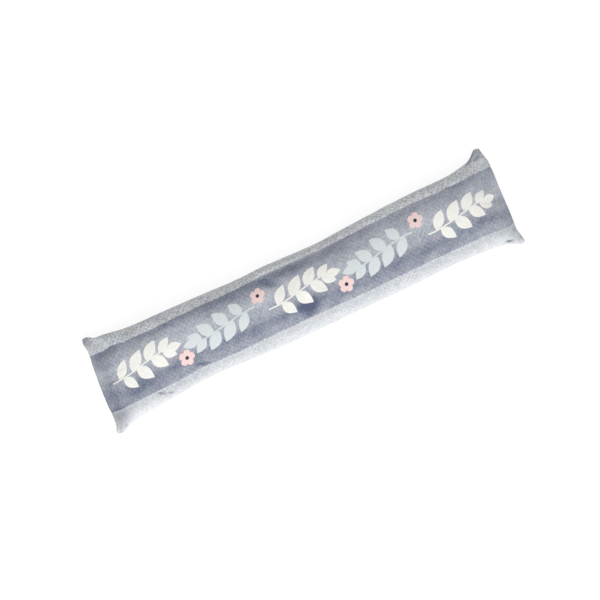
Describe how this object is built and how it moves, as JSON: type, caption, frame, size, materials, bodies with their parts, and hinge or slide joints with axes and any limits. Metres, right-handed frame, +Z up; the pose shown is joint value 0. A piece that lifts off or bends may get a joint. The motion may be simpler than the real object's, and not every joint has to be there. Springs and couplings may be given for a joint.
{
  "type": "draught excluder",
  "caption": "Long filled cloth cushion that lies against the foot of a door to stop draughts, slate blue with pale side bands and a leaf and blossom print.",
  "frame": {"origin": "on the floor, under the middle of the outer size seen from above", "axes": "+X along the cushion towards the end that lies upper right in the picture, +Y across it towards the far side, +Z up, out of the printed face"},
  "size_m": [0.906, 0.2128, 0.0895],
  "materials": {
    "cloth": "matt heather twill, printed"
  },
  "bodies": {
    "root": {"cushion": "cloth"}
  },
  "joints": []
}
